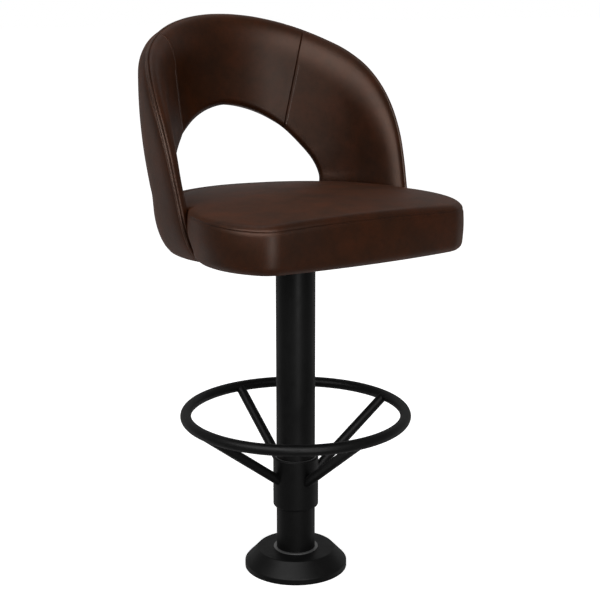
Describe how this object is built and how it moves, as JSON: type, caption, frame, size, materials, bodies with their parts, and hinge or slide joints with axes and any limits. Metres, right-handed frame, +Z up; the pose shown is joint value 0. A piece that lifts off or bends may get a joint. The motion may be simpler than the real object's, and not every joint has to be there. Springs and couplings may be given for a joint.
{
  "type": "swivel bar stool",
  "caption": "Fixed-height swivel bar stool: floor base, round column, strutted foot ring and upholstered seat with a wrap-round back that has an arched opening.",
  "frame": {"origin": "on the floor at the column's axis, the centre of the floor bolt circle", "axes": "+Z up along the column, -Y to the seat's front, +X to the right of someone who looks at the seat's front"},
  "size_m": [0.5318, 0.5761, 1.0776],
  "materials": {
    "powder_coat": "satin black powder coat",
    "bare_steel": "mill finish",
    "zinc_hardware": "zinc plated",
    "ball_steel": "polished",
    "cage_plastic": "moulded black",
    "plywood": "raw plywood",
    "brown_leather": "semi-matt smooth brown leather",
    "leather_trim": "semi-matt smooth brown leather",
    "dust_fabric": "black non-woven cloth"
  },
  "bodies": {
    "pedestal": {"floor_flange": "bare_steel", "column": "powder_coat", "head_plate": "bare_steel", "swivel_lower_race": "bare_steel", "race_bolts": "zinc_hardware", "race_nuts": "zinc_hardware", "pivot_bolt": "zinc_hardware", "pivot_washer": "zinc_hardware", "pivot_nut": "zinc_hardware"},
    "floor_cover": {"base_cover": "powder_coat", "cover_liner": "cage_plastic"},
    "foot_rest": {"ring_hub": "powder_coat", "hub_bush_lower": "cage_plastic", "hub_bush_upper": "cage_plastic", "hub_set_screws": "zinc_hardware", "foot_ring": "powder_coat", "strut_front": "powder_coat", "strut_right": "powder_coat", "strut_rear": "powder_coat", "strut_left": "powder_coat"},
    "ball_ring": {"swivel_balls": "ball_steel", "ball_cage": "cage_plastic"},
    "seat": {"swivel_upper_race": "bare_steel", "seat_bolts": "zinc_hardware", "seat_tee_nuts": "zinc_hardware", "seat_board": "plywood", "seat_cushion": "brown_leather", "dust_cloth": "dust_fabric", "shell_core": "plywood", "lower_shell_rail": "plywood", "shell_screws": "zinc_hardware", "back_cover": "brown_leather", "lower_back_cover": "brown_leather", "pad_left": "brown_leather", "pad_centre": "brown_leather", "pad_right": "brown_leather", "opening_facing": "leather_trim", "rim_piping": "leather_trim", "lower_back_lining": "brown_leather"}
  },
  "joints": [
    {"name": "seat_swivel", "type": "hinge", "parent": "pedestal", "child": "seat", "pos_m": [0, 0, 0.651], "axis": [0, 0, 1], "continuous": true},
    {"name": "ball_roll", "type": "hinge", "parent": "pedestal", "child": "ball_ring", "pos_m": [0, 0, 0.651], "axis": [0, 0, 1], "continuous": true},
    {"name": "ring_height", "type": "slide", "parent": "pedestal", "child": "foot_rest", "axis": [0, 0, 1], "range_m": [-0.025, 0.2]},
    {"name": "cover_lift", "type": "slide", "parent": "pedestal", "child": "floor_cover", "axis": [0, 0, 1], "range_m": [0, 0.06]}
  ],
  "couplings": [
    {"joint": "ball_roll", "follows": "seat_swivel", "ratio": 0.5}
  ]
}
